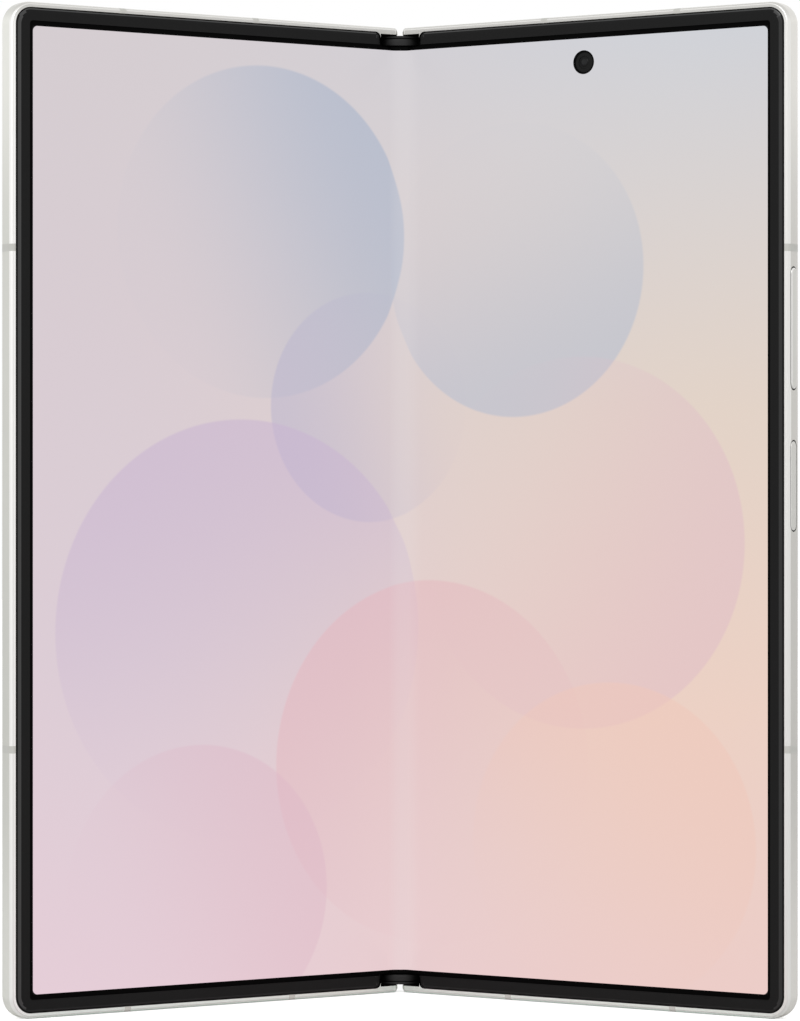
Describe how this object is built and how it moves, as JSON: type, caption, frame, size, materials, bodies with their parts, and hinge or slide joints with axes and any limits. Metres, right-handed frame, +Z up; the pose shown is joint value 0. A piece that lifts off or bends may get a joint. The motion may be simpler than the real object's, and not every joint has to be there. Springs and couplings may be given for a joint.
{
  "type": "foldable smartphone",
  "caption": "Book-style folding phone standing half open, with a folding inner screen, geared twin-axis hinge, side keys, card tray and rear cameras.",
  "frame": {"origin": "centre of the bounding box's bottom face, on the surface that the phone stands on", "axes": "+Z up along the fold; -Y towards the user, who looks at the inner screen; +X to the user's right"},
  "size_m": [0.124, 0.0414, 0.1584],
  "materials": {
    "frame": "satin",
    "bezel": "satin",
    "radio": "matte",
    "screen": "gloss",
    "dark_plastic": "matte",
    "spine_metal": "satin",
    "steel": "satin",
    "brass": "satin",
    "flex": "matte",
    "cover_glass": "gloss",
    "rear_glass": "matte",
    "lens": "gloss",
    "led": "gloss",
    "cell": "matte",
    "board": "satin",
    "copper": "satin"
  },
  "bodies": {
    "spine": {"spine_cover": "spine_metal", "spine_end_caps": "dark_plastic", "hinge_base_blocks": "steel", "hinge_block_screws": "steel", "gear_shafts": "steel", "disc_springs": "steel", "hinge_flex_cable": "flex", "display_fold_zone": "screen"},
    "left_half": {"left_frame": "frame", "left_bezel": "bezel", "left_radio_breaks": "radio", "inner_display_left": "screen", "left_rotators": "steel", "left_hinge_screws": "steel", "cover_glass": "cover_glass", "cover_display_panel": "dark_plastic", "cover_camera": "dark_plastic", "left_battery": "cell", "sub_board": "board", "earpiece": "dark_plastic", "vibration_motor": "steel", "sim_reader": "steel", "left_magnets": "steel", "left_board_screws": "steel"},
    "right_half": {"right_frame": "frame", "right_bezel": "bezel", "right_radio_breaks": "radio", "inner_display_right": "screen", "right_rotators": "steel", "right_hinge_screws": "steel", "rear_glass": "rear_glass", "camera_island": "frame", "lens_rings": "frame", "lens_glass": "lens", "camera_modules": "dark_plastic", "flash_led": "led", "selfie_camera": "dark_plastic", "key_flex": "flex", "right_battery": "cell", "main_board": "board", "shield_cans": "steel", "wireless_coil": "copper", "heat_spreader": "cell", "usb_port_shell": "steel", "usb_tongue": "dark_plastic", "loudspeaker": "dark_plastic", "right_magnets": "steel", "right_board_screws": "steel"},
    "left_arm": {"left_sync_arm": "brass"},
    "right_arm": {"right_sync_arm": "brass"},
    "gear_a": {"idler_gear_a": "brass"},
    "gear_b": {"idler_gear_b": "brass"},
    "volume_rocker": {"volume_key": "frame"},
    "power_button": {"power_key": "frame"},
    "card_tray": {"sim_tray": "frame", "sim_card": "radio"}
  },
  "joints": [
    {"name": "left_fold", "type": "hinge", "parent": "spine", "child": "left_half", "pos_m": [-0.00108, 0.01729, 0.0792], "axis": [0, 0, 1], "range_deg": [-32.1, 57.9], "deforming": ["display_fold_zone"]},
    {"name": "right_fold", "type": "hinge", "parent": "spine", "child": "right_half", "pos_m": [0.00108, 0.01729, 0.0792], "axis": [0, 0, -1], "range_deg": [-32.1, 57.9]},
    {"name": "left_arm_turn", "type": "hinge", "parent": "spine", "child": "left_arm", "pos_m": [-0.00168, 0.01818, 0.0792], "axis": [0, 0, 1], "range_deg": [-32.1, 57.9]},
    {"name": "right_arm_turn", "type": "hinge", "parent": "spine", "child": "right_arm", "pos_m": [0.00168, 0.01818, 0.0792], "axis": [0, 0, -1], "range_deg": [-32.1, 57.9]},
    {"name": "gear_a_turn", "type": "hinge", "parent": "spine", "child": "gear_a", "pos_m": [-0.00056, 0.01818, 0.0792], "axis": [0, 0, -1], "range_deg": [-32.1, 57.9]},
    {"name": "gear_b_turn", "type": "hinge", "parent": "spine", "child": "gear_b", "pos_m": [0.00056, 0.01818, 0.0792], "axis": [0, 0, 1], "range_deg": [-32.1, 57.9]},
    {"name": "volume_rock", "type": "hinge", "parent": "right_half", "child": "volume_rocker", "pos_m": [0.06072, -0.01922, 0.10748], "axis": [0.5314, 0.8471, 0], "range_deg": [-0.6, 0.6], "stiffness_Nm_per_rad": 0.3},
    {"name": "power_press", "type": "slide", "parent": "right_half", "child": "power_button", "axis": [-0.8471, 0.5314, 0], "range_m": [0, 0.0002], "stiffness_N_per_m": 1500},
    {"name": "tray_slide", "type": "slide", "parent": "left_half", "child": "card_tray", "axis": [0, 0, 1], "range_m": [0, 0.018]}
  ],
  "couplings": [
    {"joint": "right_fold", "follows": "left_fold", "ratio": 1},
    {"joint": "left_arm_turn", "follows": "left_fold", "ratio": 1},
    {"joint": "right_arm_turn", "follows": "left_fold", "ratio": 1},
    {"joint": "gear_a_turn", "follows": "left_fold", "ratio": 1},
    {"joint": "gear_b_turn", "follows": "left_fold", "ratio": 1}
  ]
}
